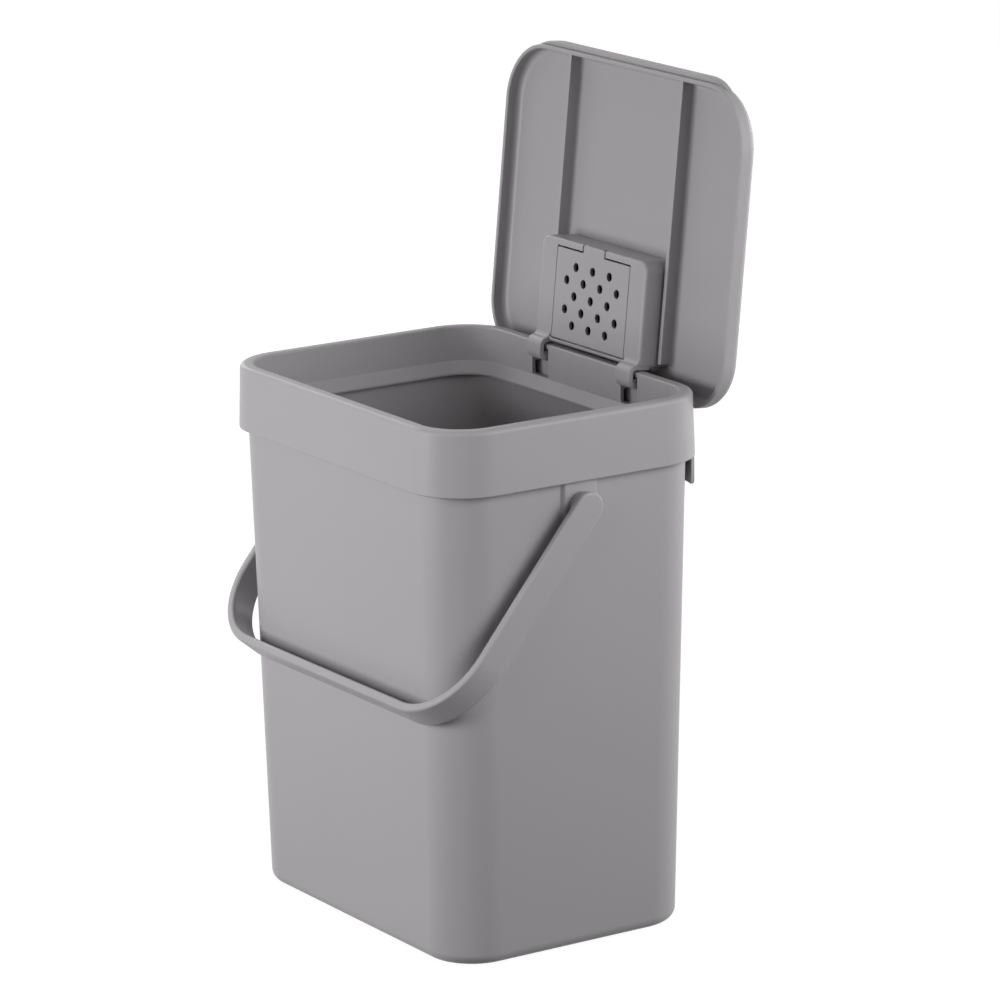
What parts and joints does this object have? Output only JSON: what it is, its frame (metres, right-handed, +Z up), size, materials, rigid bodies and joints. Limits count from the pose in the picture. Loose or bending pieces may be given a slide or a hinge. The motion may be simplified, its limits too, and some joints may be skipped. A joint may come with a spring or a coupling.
{
  "type": "food waste caddy",
  "caption": "Rectangular food waste caddy with a rim collar, a flip-up lid with a carbon filter behind a perforated door, and a swinging bail handle.",
  "frame": {"origin": "middle of the bucket's flat underside, on the floor", "axes": "+Z up, +X along the lid's hinge, front of the caddy at -Y and the hinge at +Y"},
  "size_m": [0.228, 0.1988, 0.4269],
  "materials": {
    "grey_plastic": "satin, even mid-grey moulded plastic",
    "hinge_steel": "plain turned pin",
    "carbon_felt": "black carbon-filled felt"
  },
  "bodies": {
    "caddy": {"bucket": "grey_plastic", "collar": "grey_plastic", "hinge_pin_left": "hinge_steel", "hinge_pin_right": "hinge_steel"},
    "bail": {"handle": "grey_plastic"},
    "lid_assembly": {"lid": "grey_plastic", "filter_housing": "grey_plastic", "carbon_filter": "carbon_felt"},
    "filter_door": {"filter_cover": "grey_plastic"}
  },
  "joints": [
    {"name": "lid_hinge", "type": "hinge", "parent": "caddy", "child": "lid_assembly", "pos_m": [0, 0.0762, 0.2686], "axis": [1, 0, 0], "range_deg": [0, 96]},
    {"name": "handle_swing", "type": "hinge", "parent": "caddy", "child": "bail", "pos_m": [0, 0, 0.2307], "axis": [-1, 0, 0], "range_deg": [0, 165]},
    {"name": "filter_door_hinge", "type": "hinge", "parent": "lid_assembly", "child": "filter_door", "pos_m": [0, 0.0762, 0.28107], "axis": [1, 0, 0], "range_deg": [0, 85]}
  ]
}
